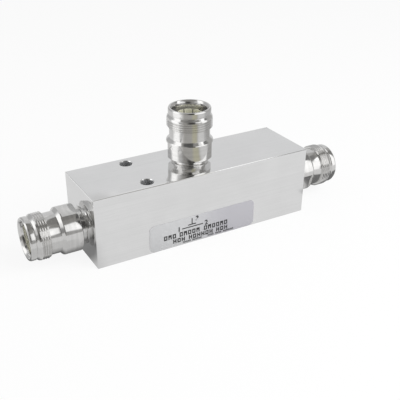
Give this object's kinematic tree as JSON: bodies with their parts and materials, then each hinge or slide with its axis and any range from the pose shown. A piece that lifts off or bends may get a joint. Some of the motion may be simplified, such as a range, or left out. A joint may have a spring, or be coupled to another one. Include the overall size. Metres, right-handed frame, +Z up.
{
  "type": "rf power tapper",
  "caption": "Coaxial power tapper: a drilled square aluminium bar with a through line between its end connectors and a tap connector on top.",
  "frame": {"origin": "middle of the bar's underside", "axes": "+X along the through line from the input to the output, +Z up along the tap port, -Y towards the label"},
  "size_m": [0.1548, 0.0319, 0.0567],
  "materials": {
    "bare_aluminium": "bare, finely machined",
    "plated_brass": "bright white-bronze plate over turned brass",
    "silver_plate": "satin silver plate over bronze",
    "white_insulator": "turned white fluoropolymer",
    "seal_rubber": "matt black",
    "label_foil": "silver-grey polyester film"
  },
  "bodies": {
    "root": {"housing": "bare_aluminium", "input_line_rod": "silver_plate", "output_line_rod": "silver_plate", "tap_line_rod": "silver_plate", "line_hub": "silver_plate", "rating_label": "label_foil", "input_connector_body": "plated_brass", "input_contact_basket": "silver_plate", "input_centre_contact": "silver_plate", "input_insulator_bead": "white_insulator", "input_port_seal": "seal_rubber", "output_connector_body": "plated_brass", "output_contact_basket": "silver_plate", "output_centre_contact": "silver_plate", "output_insulator_bead": "white_insulator", "output_port_seal": "seal_rubber", "tap_connector_body": "plated_brass", "tap_contact_basket": "silver_plate", "tap_centre_contact": "silver_plate", "tap_insulator_bead": "white_insulator", "tap_port_seal": "seal_rubber"}
  },
  "joints": []
}
